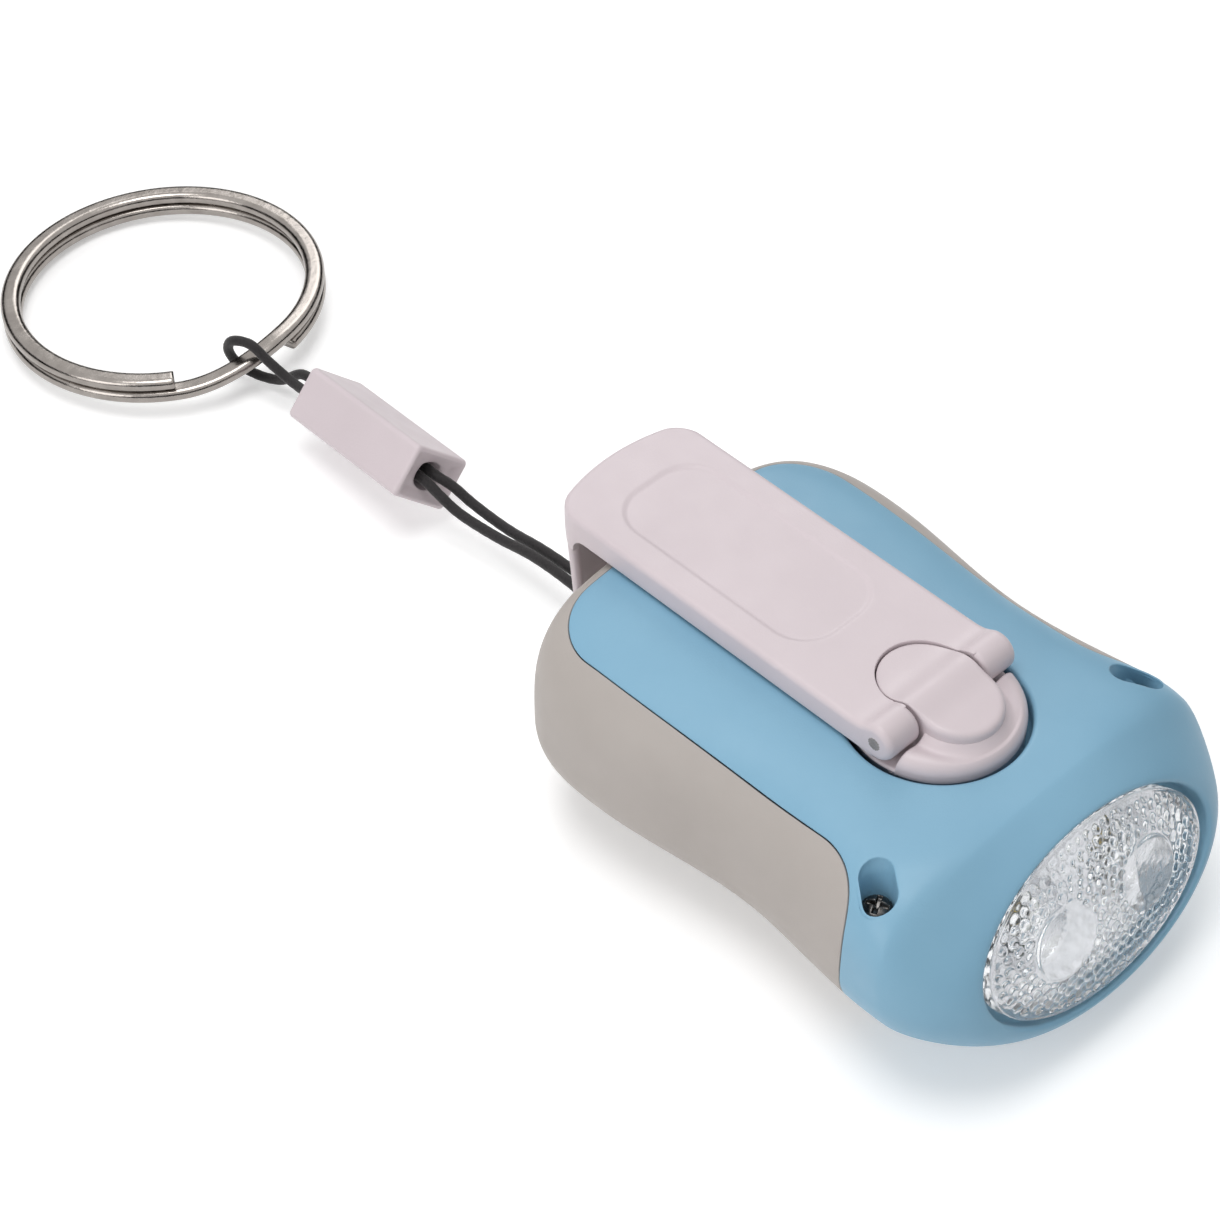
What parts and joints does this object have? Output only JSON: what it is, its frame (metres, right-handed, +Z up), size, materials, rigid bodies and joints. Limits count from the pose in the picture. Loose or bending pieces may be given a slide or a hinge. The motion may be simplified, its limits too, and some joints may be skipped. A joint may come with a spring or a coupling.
{
  "type": "hand-crank keychain flashlight",
  "caption": "Pocket dynamo flashlight with an oval front lens, a folding crank lever on top, screwed two-colour housing, wrist cord with a slide bead and a split key ring.",
  "frame": {"origin": "centre of the flashlight's footprint, on the surface that it lies on", "axes": "+Z up through the crank axis, -Y towards the lens, +Y towards the cord and key ring, X across the body"},
  "size_m": [0.038, 0.1372, 0.0243],
  "materials": {
    "blue_plastic": "satin moulded",
    "grey_plastic": "matt moulded",
    "pink_plastic": "satin moulded",
    "clear_plastic": "pebbled clear",
    "silvered_plastic": "vacuum silvered",
    "led_epoxy": "clear",
    "circuit_board": "green solder mask",
    "black_steel": "black plated",
    "steel": "bright",
    "nickel_steel": "nickel plated",
    "gear_nylon": "moulded",
    "black_plastic": "moulded",
    "magnet": "sintered",
    "yoke_iron": "laminated",
    "copper": "enamelled wire",
    "lead_insulation": "insulated",
    "black_cord": "braided"
  },
  "bodies": {
    "housing": {"top_cover": "blue_plastic", "lower_case": "grey_plastic", "lens": "clear_plastic", "reflector": "silvered_plastic", "led_left": "led_epoxy", "led_right": "led_epoxy", "led_board": "circuit_board", "case_screw_left": "black_steel", "case_screw_right": "black_steel", "gear_plate": "black_plastic", "gear_axle_1": "steel", "gear_axle_2": "steel", "rotor_axle": "steel", "stator_yoke": "yoke_iron", "coil_bobbin": "black_plastic", "coil_winding": "copper", "coil_lead_left": "copper", "coil_lead_right": "copper", "rechargeable_cell": "steel", "cell_contact_lower": "steel", "cell_contact_upper": "steel", "circuit_board": "circuit_board", "push_switch": "black_plastic", "led_lead_left": "lead_insulation", "led_lead_right": "lead_insulation", "cord_knot": "black_cord", "cord": "black_cord"},
    "crank": {"crank_hub": "pink_plastic", "drive_gear": "gear_nylon", "drive_gear_screw": "steel"},
    "lever": {"crank_lever": "pink_plastic", "hinge_pin": "steel"},
    "first_gear": {"gear_1": "gear_nylon"},
    "second_gear": {"gear_2": "gear_nylon"},
    "rotor": {"rotor_magnet": "magnet", "rotor_pinion": "gear_nylon"},
    "button": {"push_button": "pink_plastic", "switch_plunger": "black_plastic"},
    "bead": {"cord_bead": "pink_plastic"},
    "ring": {"split_ring": "nickel_steel"}
  },
  "joints": [
    {"name": "crank_spin", "type": "hinge", "parent": "housing", "child": "crank", "pos_m": [0, -0.00806, 0.0193], "axis": [0, 0, 1], "continuous": true},
    {"name": "lever_fold", "type": "hinge", "parent": "crank", "child": "lever", "pos_m": [0, -0.00806, 0.02257], "axis": [1, 0, 0], "range_deg": [0, 150]},
    {"name": "gear_1_spin", "type": "hinge", "parent": "housing", "child": "first_gear", "pos_m": [-0.0035, 0.00498, 0.0146], "axis": [0, 0, 1], "continuous": true},
    {"name": "gear_2_spin", "type": "hinge", "parent": "housing", "child": "second_gear", "pos_m": [0.0055, -0.00218, 0.0126], "axis": [0, 0, 1], "continuous": true},
    {"name": "rotor_spin", "type": "hinge", "parent": "housing", "child": "rotor", "pos_m": [0, -0.01228, 0.006], "axis": [0, 0, 1], "continuous": true},
    {"name": "button_press", "type": "slide", "parent": "housing", "child": "button", "axis": [0, 0, 1], "range_m": [0, 0.0005], "stiffness_N_per_m": 400},
    {"name": "bead_slide", "type": "slide", "parent": "housing", "child": "bead", "axis": [0.0763, 0.9918, -0.1028], "range_m": [0, 0.004]},
    {"name": "ring_swing", "type": "hinge", "parent": "housing", "child": "ring", "pos_m": [0.0002, 0.0772, 0.00365], "axis": [1, 0, 0], "range_deg": [0, 120]}
  ],
  "couplings": [
    {"joint": "gear_2_spin", "follows": "rotor_spin", "ratio": -0.27778},
    {"joint": "gear_1_spin", "follows": "rotor_spin", "ratio": 0.07716},
    {"joint": "crank_spin", "follows": "rotor_spin", "ratio": -0.017536}
  ]
}
